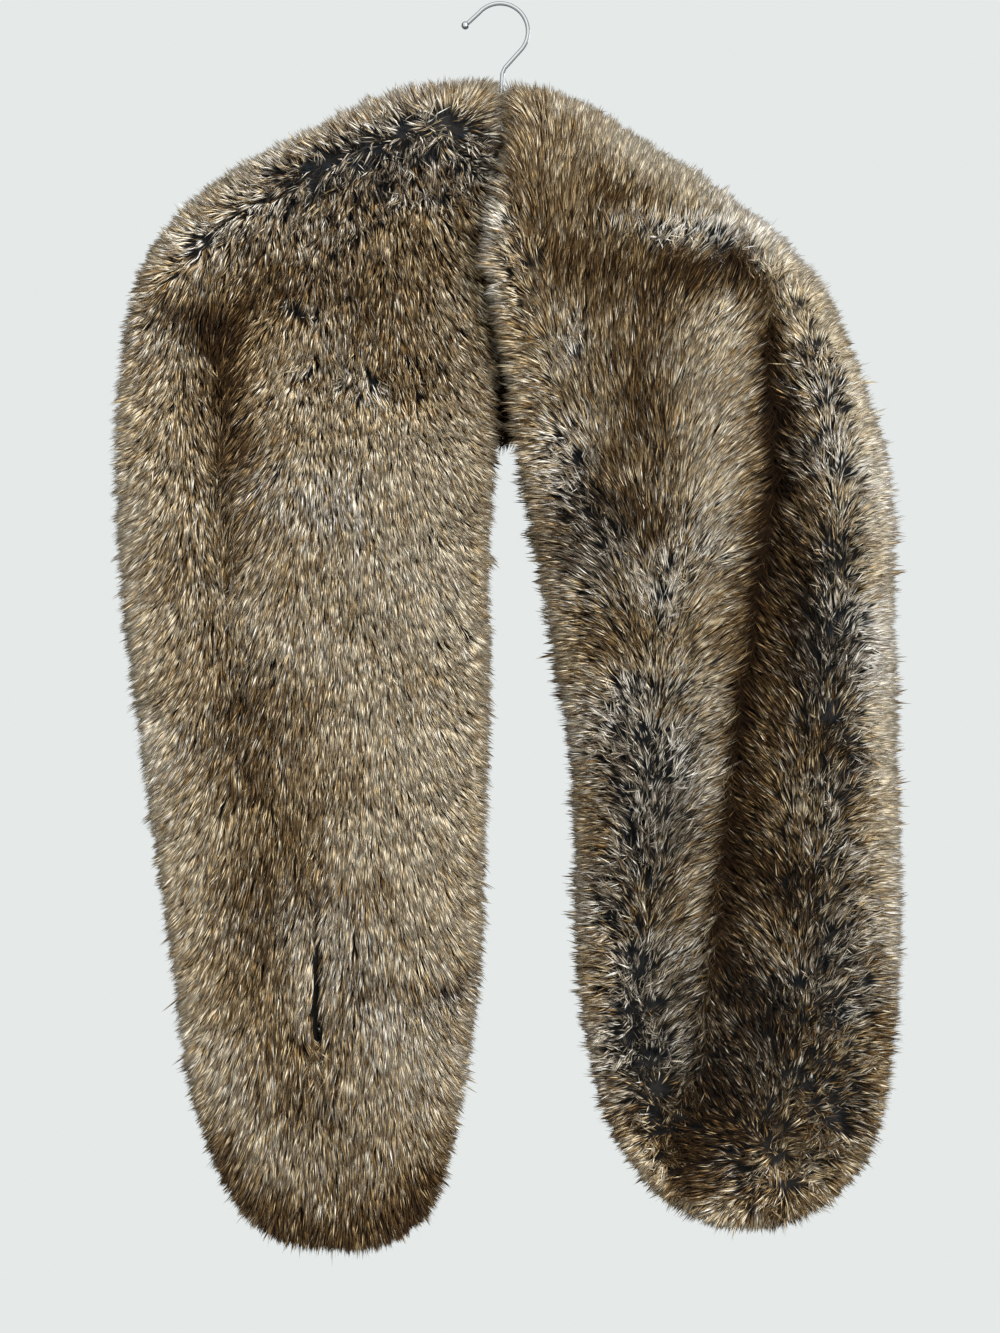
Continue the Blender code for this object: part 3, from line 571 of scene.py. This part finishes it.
LEFT_TRAITS = (
    Trait(0.014, 1.2, 0.0, 0.0, NOTCH_LINE, 0.5),
    # Painted shade: along the gap at the neck the pile is darker, and shorter, where the fronts
    # shade it.
    Trait(0.010, 0.0, 0.9, 0.0, NECK_GAP, -0.4),
    Trait(0.016, 0.0, 0.05, 0.65, ((-0.205, -0.168), (-0.180, -0.147), (-0.136, -0.118),
                                   (-0.090, -0.104), (-0.045, -0.098), (-0.005, -0.100))),
    Trait(0.030, 0.0, 0.22, 0.6, ((-0.110, -0.125), (-0.060, -0.115), (-0.015, -0.115))),
    Trait(0.020, 0.0, 0.15, 0.0, ((-0.164, -0.132), (-0.130, -0.112))),
    # Paler, and a little shorter, along the top of the shoulder: the cream of hairs seen side on,
    # with a painted highlight.
    Trait(0.012, 0.0, -0.35, 0.0, ((-0.222, -0.150), (-0.164, -0.105), (-0.118, -0.078),
                                   (-0.043, -0.054)), -0.06),
    Trait(0.016, 0.0, 0.0, 0.0, ((-0.238, -0.190), (-0.222, -0.160)), -0.25),
    Trait(0.020, 0.0, 0.12, 0.0, ((-0.040, -0.145), (-0.020, -0.155))),
    # Paler along the left edge: the cream of hairs seen side on, with a painted highlight.
    Trait(0.015, 0.0, -0.34, 0.0, ((-0.250, -0.260), (-0.250, -0.420), (-0.240, -0.500),
                                   (-0.228, -0.620), (-0.212, -0.700))),
    Trait(0.012, 0.0, -0.25, 0.0, ((-0.085, -0.674), (-0.078, -0.680))),
    Trait(0.018, 0.0, 0.34, 0.0, ((-0.220, -0.205), (-0.198, -0.210))),
    Trait(0.018, 0.0, -0.15, 0.0, ((-0.020, -0.165), (-0.012, -0.195))),
    Trait(0.018, 0.0, -0.28, 0.0, ((-0.240, -0.420), (-0.228, -0.500))),
    Trait(0.020, 0.0, 0.13, 0.0, ((-0.085, -0.238), (-0.065, -0.242))),
    Trait(0.018, 0.0, -0.14, 0.0, ((-0.144, -0.488), (-0.144, -0.505))),
    Trait(0.016, 0.0, -0.14, 0.0, ((-0.026, -0.420), (-0.024, -0.455))),
    Trait(0.024, 0.0, 0.16, 0.0, ((-0.150, -0.355), (-0.135, -0.375))),
    Trait(0.020, 0.0, 0.18, 0.0, ((-0.172, -0.600), (-0.168, -0.640))),
    Trait(0.014, 0.0, 0.18, 0.0, ((-0.105, -0.640), (-0.100, -0.690))),
    Trait(0.036, 0.0, 0.30, 0.0, ((-0.158, -0.189), (-0.075, -0.189))),
    Trait(0.016, 0.0, 0.10, 0.0, ((-0.050, -0.160), (-0.042, -0.170))),
    Trait(0.022, 0.0, 0.16, 0.0, ((-0.086, -0.112), (-0.045, -0.108))),
    Trait(0.020, 0.0, 0.16, 0.0, ((-0.142, -0.185), (-0.138, -0.210))),
    Trait(0.020, 0.0, 0.16, 0.0, ((-0.172, -0.515), (-0.130, -0.520), (-0.132, -0.560))),
    Trait(0.016, 0.0, 0.12, 0.0, ((-0.058, -0.583), (-0.045, -0.585))),
    Trait(0.016, 0.0, 0.12, 0.0, ((-0.190, -0.400), (-0.190, -0.415))),
    Trait(0.020, 0.0, -0.12, 0.0, ((-0.100, -0.390), (-0.095, -0.470))),
    Trait(0.016, 0.0, -0.12, 0.0, ((-0.152, -0.745), (-0.146, -0.765))),
    Trait(0.020, 0.0, -0.22, 0.0, ((-0.033, -0.300), (-0.033, -0.355))),
    Trait(0.018, 0.0, 0.12, 0.0, ((-0.088, -0.318), (-0.082, -0.328))),
    Trait(0.016, 0.0, -0.14, 0.0, ((-0.060, -0.625), (-0.055, -0.632))),
    Trait(0.014, 0.0, -0.14, 0.0, ((-0.033, -0.385), (-0.033, -0.410))),
    Trait(0.020, 0.0, -0.12, 0.0, ((-0.196, -0.560), (-0.192, -0.635))),
    Trait(0.020, 0.0, -0.15, 0.0, ((-0.050, -0.740), (-0.036, -0.757))),
    # Painted shade: darker down the valley of the fold on the left end, where the nap also
    # gathers.
    Trait(0.020, 0.3, 0.60, 0.0, ((-0.182, -0.222), (-0.180, -0.250), (-0.176, -0.290))),
    Trait(0.016, 0.2, 0.22, 0.0, ((-0.178, -0.320), (-0.174, -0.365))),
    Trait(0.010, -0.2, 0.20, 0.7, ((-0.125, -0.252), (-0.095, -0.259), (-0.050, -0.262))),
    Trait(0.006, 0.0, 0.05, 0.8, ((-0.086, -0.128), (-0.062, -0.132), (-0.046, -0.130))),
    Trait(0.006, 0.0, 0.05, 0.8, ((-0.138, -0.207), (-0.124, -0.212))),
    Trait(0.007, -0.3, 0.05, 1.0, ((-0.040, -0.430), (-0.028, -0.426))),
    Trait(0.007, -0.3, 0.05, 1.0, ((-0.042, -0.666), (-0.024, -0.656))),
    Trait(0.013, 0.0, 0.38, 0.0, ((-0.056, -0.654), (-0.030, -0.652))),
    Trait(0.040, 0.0, 0.08, 0.0, ((-0.215, -0.300), (-0.207, -0.500))),
    Trait(0.030, 0.0, 0.22, 0.0, ((-0.168, -0.450), (-0.158, -0.500), (-0.155, -0.560),
                                  (-0.150, -0.650), (-0.138, -0.730))),
    Trait(0.020, 0.0, 0.22, 0.0, ((-0.172, -0.462), (-0.140, -0.470), (-0.125, -0.460))),
    Trait(0.015, 0.0, 0.34, 0.0, ((-0.115, -0.592), (-0.080, -0.590))),
    Trait(0.042, 0.0, -0.29, 0.0, ((-0.076, -0.308), (-0.045, -0.430), (-0.050, -0.600))),
    # Painted shade: darker, and a little shorter, round the bottom of the left end, which faces
    # down away from the light.
    Trait(0.024, 0.0, 0.50, 0.0, ((-0.195, -0.765), (-0.175, -0.798), (-0.120, -0.826),
                                  (-0.060, -0.810), (-0.028, -0.765)), -0.15),
    Trait(0.025, 0.0, -0.15, 0.0, ((-0.185, -0.700), (-0.165, -0.748))),
    Trait(0.050, 0.0, 0.09, 0.0, ((-0.120, -0.770), (-0.070, -0.760))),
    Trait(0.005, 0.0, 0.25, 0.0, SLIT_LINE),
    Trait(0.004, 0.35, 0.0, 0.0, ((-0.1205, -0.592), (-0.1205, -0.612))),
    Trait(0.005, 0.08, 0.0, 0.0, ((-0.1205, -0.616), (-0.1205, -0.632)), -0.1),
    Trait(0.007, -0.05, 0.0, 0.0, ((-0.1205, -0.638), (-0.1205, -0.688)), -0.1),
    Trait(0.005, 0.9, 0.0, 0.0, ((-0.1205, -0.694), (-0.1205, -0.704)), 0.2),
    Trait(0.006, 0.0, -0.22, 0.0, ((-0.131, -0.615), (-0.130, -0.680))),
    Trait(0.006, 0.0, -0.22, 0.0, ((-0.110, -0.622), (-0.110, -0.655))),
)
left_skin = skin_of("left_front")


def left_flow(place):
    """Down the panel, fanning out at its edges, but upwards over the top of the arm."""
    to_edge = across_panel(place, left_skin)
    fan = 0.15 * to_edge + 0.85 * np.sign(to_edge) * np.abs(to_edge) ** 4
    flow = np.stack([fan, np.zeros(len(place)), np.full(len(place), -1.0)], axis=1)
    line = np.array(LEFT_PARTING)
    height = np.interp(place[:, 0], line[:, 0], line[:, 1]) + 0.003 * soft_field(place, 0.015, 6.6)
    above = (0.5 + 0.5 * np.tanh((place[:, 2] - height) / 0.013))[:, None]
    lean = np.interp(place[:, 0], (-0.15, -0.05, 0.0), (-2.4, -1.0, 0.3))
    spread = unit(np.stack([lean, np.zeros(len(place)), np.ones(len(place))], axis=1))
    return flow * (1 - above) + spread * above


facing = face_facing(left_skin)
middle = left_skin.points[left_skin.corners].mean(axis=1)
left_finish = fur_finish("left pile")
left_fur = pile_pieces(
    ["left_fur_lower", "left_fur_upper"], left_skin, facing < TO_BACK, FRONT_BLADES, PILE,
    left_flow, 0.31, LEFT_TRAITS, left_finish)
left_fur += pile_pieces(
    ["left_fur_reverse"], left_skin,
    (facing >= TO_BACK) * np.where((middle[:, 2] > HEM) & (facing > FLAT_ON), HIDDEN, 1.0),
    REVERSE_BLADES, REVERSE_PILE,
    left_flow, 0.36, (Trait(0.005, 0.9, 0.1, 0.0, SLIT_LINE),), left_finish)
backing("left_backing", "left_front", woven)


# The hanging end on the right.
END_CENTRE, END_RADIUS = (0.161, -0.717), 0.074
END_ARC = tuple(
    (END_CENTRE[0] + END_RADIUS * math.cos(a), END_CENTRE[1] - END_RADIUS * math.sin(a))
    for a in np.radians(np.linspace(40, 150, 9))
)
RIGHT_TRAITS = (
    Trait(0.014, 1.2, 0.0, 0.0, NOTCH_LINE, 0.5),
    # Painted shade: along the gap at the neck the pile is darker, and shorter, where the fronts
    # shade it.
    Trait(0.007, 0.0, 0.7, 0.0, NECK_GAP[2:], -0.4),
    Trait(0.016, 0.45, 0.05, 0.2, END_ARC),
    Trait(0.010, 0.4, 0.10, 0.5, ((0.198, -0.754), (0.206, -0.772))),
    Trait(0.012, 0.0, -0.16, 0.0, ((0.085, -0.770), (0.120, -0.806), (0.165, -0.815))),
    # Painted shade: darker down the valley of the fold, where the nap also gathers.
    Trait(0.018, 0.6, 0.30, 0.0, ((0.150, -0.192), (0.174, -0.205), (0.180, -0.250),
                                  (0.184, -0.290), (0.181, -0.340), (0.172, -0.400),
                                  (0.160, -0.450), (0.152, -0.530), (0.148, -0.600),
                                  (0.138, -0.680), (0.130, -0.790))),
    # Painted shade: darkest in the narrow crevice that the ridge beside it overhangs.
    Trait(0.009, 0.0, 0.55, 0.0, ((0.178, -0.240), (0.182, -0.290), (0.181, -0.350),
                                  (0.173, -0.400), (0.164, -0.460), (0.156, -0.520))),
    Trait(0.022, 0.0, 0.20, 0.0, ((0.190, -0.400), (0.184, -0.480), (0.178, -0.540))),
    Trait(0.024, 0.0, 0.24, 0.0, ((0.160, -0.560), (0.153, -0.640), (0.160, -0.740))),
    Trait(0.016, 0.0, 0.15, 0.3, ((0.202, -0.390), (0.206, -0.500))),
    Trait(0.022, 0.0, 0.13, 0.9, ((0.206, -0.262), (0.212, -0.295), (0.219, -0.340),
                                  (0.222, -0.405), (0.226, -0.470), (0.224, -0.510))),
    Trait(0.024, 0.0, 0.08, 0.7, ((0.214, -0.530), (0.218, -0.600), (0.226, -0.680))),
    Trait(0.020, 0.0, 0.18, 0.0, ((0.205, -0.350), (0.210, -0.420))),
    Trait(0.014, 0.0, 0.14, 0.0, ((0.050, -0.365), (0.062, -0.375))),
    Trait(0.020, 0.0, 0.14, 0.0, ((0.125, -0.775), (0.150, -0.795))),
    Trait(0.050, 0.0, 0.05, 0.0, ((0.150, -0.745), (0.200, -0.720)), -0.18),
    Trait(0.006, 0.0, 0.10, 0.3, ((0.150, -0.777), (0.162, -0.780))),
    # Paler, and a little shorter, along the top of the right shoulder: the cream of hairs seen
    # side on, with a painted highlight.
    Trait(0.020, 0.0, -0.58, 0.0, ((0.100, -0.112), (0.168, -0.146), (0.196, -0.194),
                                   (0.223, -0.244), (0.243, -0.300)), -0.12),
    # Paler along the right edge: the cream of hairs seen side on, with a painted highlight where
    # the light from the right catches it.
    Trait(0.027, 0.0, -1.05, 0.0, ((0.250, -0.330), (0.256, -0.380), (0.262, -0.500))),
    Trait(0.018, 0.0, -0.80, 0.0, ((0.264, -0.520), (0.266, -0.640))),
    # Paler along the top edge by the neck: the cream of hairs seen side on, with a painted
    # highlight.
    Trait(0.014, 0.0, -0.35, 0.0, ((0.050, -0.080), (0.110, -0.115), (0.180, -0.160))),
    Trait(0.024, 0.0, 0.0, 0.8, ((0.125, -0.385), (0.104, -0.430), (0.100, -0.472),
                                 (0.108, -0.510))),
    Trait(0.016, 0.0, 0.0, 0.8, ((0.040, -0.315), (0.060, -0.345), (0.075, -0.375))),
    Trait(0.014, 0.0, 0.28, 0.0, ((0.105, -0.210), (0.098, -0.250), (0.085, -0.300),
                                  (0.070, -0.335))),
    # Painted shade: a dark band under the pale parted streak near the top.
    Trait(0.014, 0.0, 0.40, 0.0, ((0.115, -0.192), (0.150, -0.197))),
    Trait(0.014, 0.0, 0.32, 0.0, ((0.070, -0.147), (0.092, -0.150))),
    Trait(0.016, 0.0, 0.20, 0.0, ((0.122, -0.205), (0.132, -0.212))),
    Trait(0.016, 0.0, 0.12, 0.0, ((0.044, -0.285), (0.050, -0.300))),
    Trait(0.014, 0.0, 0.12, 0.0, ((0.036, -0.345), (0.044, -0.385))),
    Trait(0.018, 0.0, 0.20, 0.0, ((0.065, -0.355), (0.085, -0.362), (0.118, -0.378))),
    Trait(0.014, 0.0, 0.20, 0.0, ((0.138, -0.500), (0.142, -0.512))),
    Trait(0.016, 0.0, 0.14, 0.0, ((0.020, -0.135), (0.024, -0.165))),
    Trait(0.014, 0.0, 0.18, 0.0, ((0.168, -0.200), (0.176, -0.214))),
    Trait(0.014, 0.0, 0.12, 0.0, ((0.070, -0.432), (0.082, -0.438))),
    Trait(0.016, 0.0, -0.16, 0.0, ((0.120, -0.455), (0.126, -0.475))),
    Trait(0.020, 0.0, 0.18, 0.0, ((0.190, -0.600), (0.205, -0.625))),
    Trait(0.010, 0.0, 0.28, 0.0, ((0.169, -0.330), (0.162, -0.385))),
    Trait(0.022, 0.0, 0.22, 0.0, ((0.140, -0.560), (0.175, -0.590), (0.195, -0.610))),
    Trait(0.018, 0.0, 0.15, 0.0, ((0.066, -0.345), (0.085, -0.348), (0.108, -0.362))),
    Trait(0.014, 0.0, 0.28, 0.0, ((0.104, -0.290), (0.108, -0.322))),
    Trait(0.024, 0.0, -0.36, 0.0, ((0.136, -0.178), (0.160, -0.166))),
    Trait(0.020, 0.0, -0.26, 0.0, ((0.078, -0.106), (0.100, -0.120))),
    Trait(0.014, 0.0, -0.20, 0.0, ((0.059, -0.308), (0.059, -0.320))),
    Trait(0.014, 0.0, 0.18, 0.0, ((0.216, -0.310), (0.216, -0.330))),
    Trait(0.013, 0.0, 0.22, 0.0, ((0.234, -0.520), (0.236, -0.545))),
    Trait(0.016, 0.0, 0.16, 0.0, ((0.072, -0.550), (0.072, -0.580))),
    Trait(0.018, 0.0, 0.18, 0.0, ((0.166, -0.665), (0.172, -0.690))),
    Trait(0.020, 0.0, -0.16, 0.0, ((0.124, -0.700), (0.122, -0.735))),
    Trait(0.018, 0.0, -0.24, 0.0, ((0.180, -0.785), (0.200, -0.786))),
    Trait(0.018, 0.0, -0.24, 0.0, ((0.196, -0.540), (0.188, -0.575))),
    Trait(0.016, 0.0, -0.15, 0.0, ((0.085, -0.470), (0.100, -0.490))),
    Trait(0.014, 0.0, 0.17, 0.0, ((0.192, -0.290), (0.194, -0.370))),
    Trait(0.020, 0.0, 0.12, 0.0, ((0.025, -0.120), (0.030, -0.190))),
    Trait(0.009, -0.5, -0.25, 1.0, ((0.078, -0.163), (0.092, -0.165))),
    Trait(0.009, -0.5, -0.25, 1.0, ((0.106, -0.170), (0.124, -0.166), (0.140, -0.170))),
    Trait(0.008, 0.0, -0.25, 0.8, ((0.047, -0.235), (0.050, -0.255))),
    Trait(0.008, 0.0, -0.18, 0.7, ((0.143, -0.212), (0.147, -0.240))),
    Trait(0.015, 0.0, 0.10, 0.2, ((0.060, -0.390), (0.070, -0.412), (0.100, -0.435))),
    Trait(0.032, 0.0, 0.14, 0.9, ((0.088, -0.500), (0.090, -0.560), (0.085, -0.640),
                                  (0.095, -0.720))),
    Trait(0.013, 0.0, -0.32, 0.0, ((0.137, -0.470), (0.135, -0.570), (0.127, -0.650))),
    Trait(0.036, 0.0, 0.09, 0.2, ((0.200, -0.560), (0.230, -0.700))),
    Trait(0.024, 0.0, 0.24, 0.6, ((0.180, -0.670), (0.200, -0.730), (0.230, -0.740))),
    Trait(0.034, 0.0, 0.26, 0.0, ((0.120, -0.740), (0.180, -0.780))),
    Trait(0.024, 0.0, -0.30, 0.0, ((0.146, -0.225), (0.138, -0.300), (0.130, -0.375))),
    Trait(0.028, 0.0, 0.24, 0.0, ((0.040, -0.190), (0.095, -0.192))),
    Trait(0.014, -0.2, -0.34, 0.5, ((-0.004, -0.142), (0.000, -0.210))),
    Trait(0.005, 0.5, 0.30, 0.0, ((0.217, -0.5145), (0.250, -0.5145))),
)
right_skin = skin_of("right_front")


def right_flow(place):
    """Up the panel, fanning out at its edges, and outwards past the arc near its end."""
    to_edge = across_panel(place, right_skin)
    turned = ((np.abs(to_edge) - 0.5) / 0.35).clip(0, 1) ** 1.5
    fan = 0.15 * to_edge + 0.85 * np.sign(to_edge) * turned
    flow = np.stack([fan, np.zeros(len(place)), 1 - 0.9 * turned], axis=1)
    out = place[:, [0, 2]] - END_CENTRE
    reach = np.linalg.norm(out, axis=1)
    past = (0.5 + 0.5 * np.tanh((reach - END_RADIUS) / 0.026)) * (-out[:, 1] / 0.03).clip(0, 1)
    outward = np.stack([out[:, 0], np.zeros(len(place)), out[:, 1]], axis=1) / reach[:, None]
    sideways = np.tanh((out[:, 0] - 0.045) / 0.025) * 0.5 * 4 * past * (1 - past)
    return flow * (1 - past)[:, None] + outward * past[:, None] + sideways[:, None] * (1, 0, 0)


facing = face_facing(right_skin)
middle = right_skin.points[right_skin.corners].mean(axis=1)
right_finish = fur_finish("right pile")
right_fur = pile_pieces(
    ["right_fur_lower", "right_fur_upper"], right_skin, facing < TO_BACK, FRONT_BLADES,
    PILE._replace(warmth=0.30),
    right_flow, 0.44, RIGHT_TRAITS, right_finish)
right_fur += pile_pieces(
    ["right_fur_reverse"], right_skin,
    (facing >= TO_BACK) * np.where((middle[:, 2] > HEM) & (facing > FLAT_ON), HIDDEN, 1.0),
    REVERSE_BLADES, REVERSE_PILE,
    right_flow, 0.40, (), right_finish)
backing("right_backing", "right_front", woven)


# The stretch behind the neck fans round from the right arm to the left one. Its pile runs
# the same way along the band, so it turns from down on the right to up on the left.
BACK_BLADES, INNER_BLADES = 50000, 10000
TO_FRONT = -0.3              # below this a triangle faces the fronts, inside the fold
NECK_HALF = 0.03             # how far each way from the middle the inner pile can be seen
NOTCH_TOP = ((-0.010, -0.050), (0.012, -0.050))
back_skin = skin_of("neck_back")
NOTCH = (0.001, 0.0, -0.088)


def back_flow(place):
    """Round the notch at the neck, from the right arm to the left one."""
    out = unit((place - NOTCH) * (1, 0, 1))
    far = (np.linalg.norm((place - NOTCH)[:, [0, 2]], axis=1, keepdims=True) / 0.21).clip(0, 1.1)
    round_notch = np.stack([out[:, 2], np.zeros(len(place)), -out[:, 0]], axis=1)
    return round_notch * (1 - far ** 5).clip(0, 1) + out * far ** 5 * 1.2


facing = face_facing(back_skin)
middle = back_skin.points[back_skin.corners].mean(axis=1)
back_finish = fur_finish("back pile")
back_fur = pile_pieces(
    ["back_fur"], back_skin, facing >= TO_FRONT, BACK_BLADES, REVERSE_PILE,
    back_flow, 0.40, (Trait(0.020, 1.5, 0.0, 0.0, NOTCH_TOP),), back_finish)
# Painted shade: the inner pile, which faces the fronts inside the fold, is given a dark tone for
# the shade it lies in.
back_fur += pile_pieces(
    ["back_fur_inner"], back_skin,
    (facing < TO_FRONT) * np.where(np.abs(middle[:, 0]) > NECK_HALF, HIDDEN, 1.0),
    INNER_BLADES, REVERSE_PILE,
    back_flow, 0.85, (
        Trait(0.020, 1.5, 0.0, 0.0, NOTCH_TOP),
        Trait(0.020, 0.0, 0.0, 0.0, ((-0.004, -0.285), (0.018, -0.290)), 1.1),
    ), back_finish)
backing("back_backing", "neck_back", woven)


# The room is plain and pale: soft light from all round, a broad lamp in front and above,
# a weaker one behind, and a floor well below the wrap.
WRAP_MIDDLE = -0.42
FLOOR_HEIGHT, FLOOR_RADIUS, FLOOR_SIDES = -1.5, 1.2, 64

world = bpy.data.worlds.new("room")
world.use_nodes = True
world.node_tree.nodes["Background"].inputs["Color"].default_value = (*shade(229, 233, 232), 1.0)
world.node_tree.nodes["Background"].inputs["Strength"].default_value = 1.0
bpy.context.scene.world = world


def lamp(name, place, size, power):
    data = bpy.data.lights.new(name, "AREA")
    data.shape, data.size, data.energy = "DISK", size, power
    thing = bpy.data.objects.new(name, data)
    thing.location = place
    aim = Vector((0, 0, WRAP_MIDDLE)) - Vector(place)
    thing.rotation_euler = aim.to_track_quat("-Z", "Y").to_euler()
    bpy.context.scene.collection.objects.link(thing)


lamp("front lamp", (1.3, -1.9, 0.7), 1.0, 76.0)
lamp("rear lamp", (1.9, 1.5, 0.8), 1.4, 32.0)

floor_data = bpy.data.meshes.new("floor")
floor_data.from_pydata(
    [(FLOOR_RADIUS * math.cos(a), FLOOR_RADIUS * math.sin(a), FLOOR_HEIGHT)
     for a in np.linspace(0, 2 * math.pi, FLOOR_SIDES + 1)[:-1]],
    [], [range(FLOOR_SIDES)])
floor = bpy.data.objects.new("floor", floor_data)
bpy.context.scene.collection.objects.link(floor)
painted, shader, place = new_material("painted floor", 0.8)
feed(shader, "Base Color", noise(place, 6).colours(
    (0.4, shade(176, 178, 176)), (0.6, shade(180, 182, 180))))
floor_data.materials.append(painted)
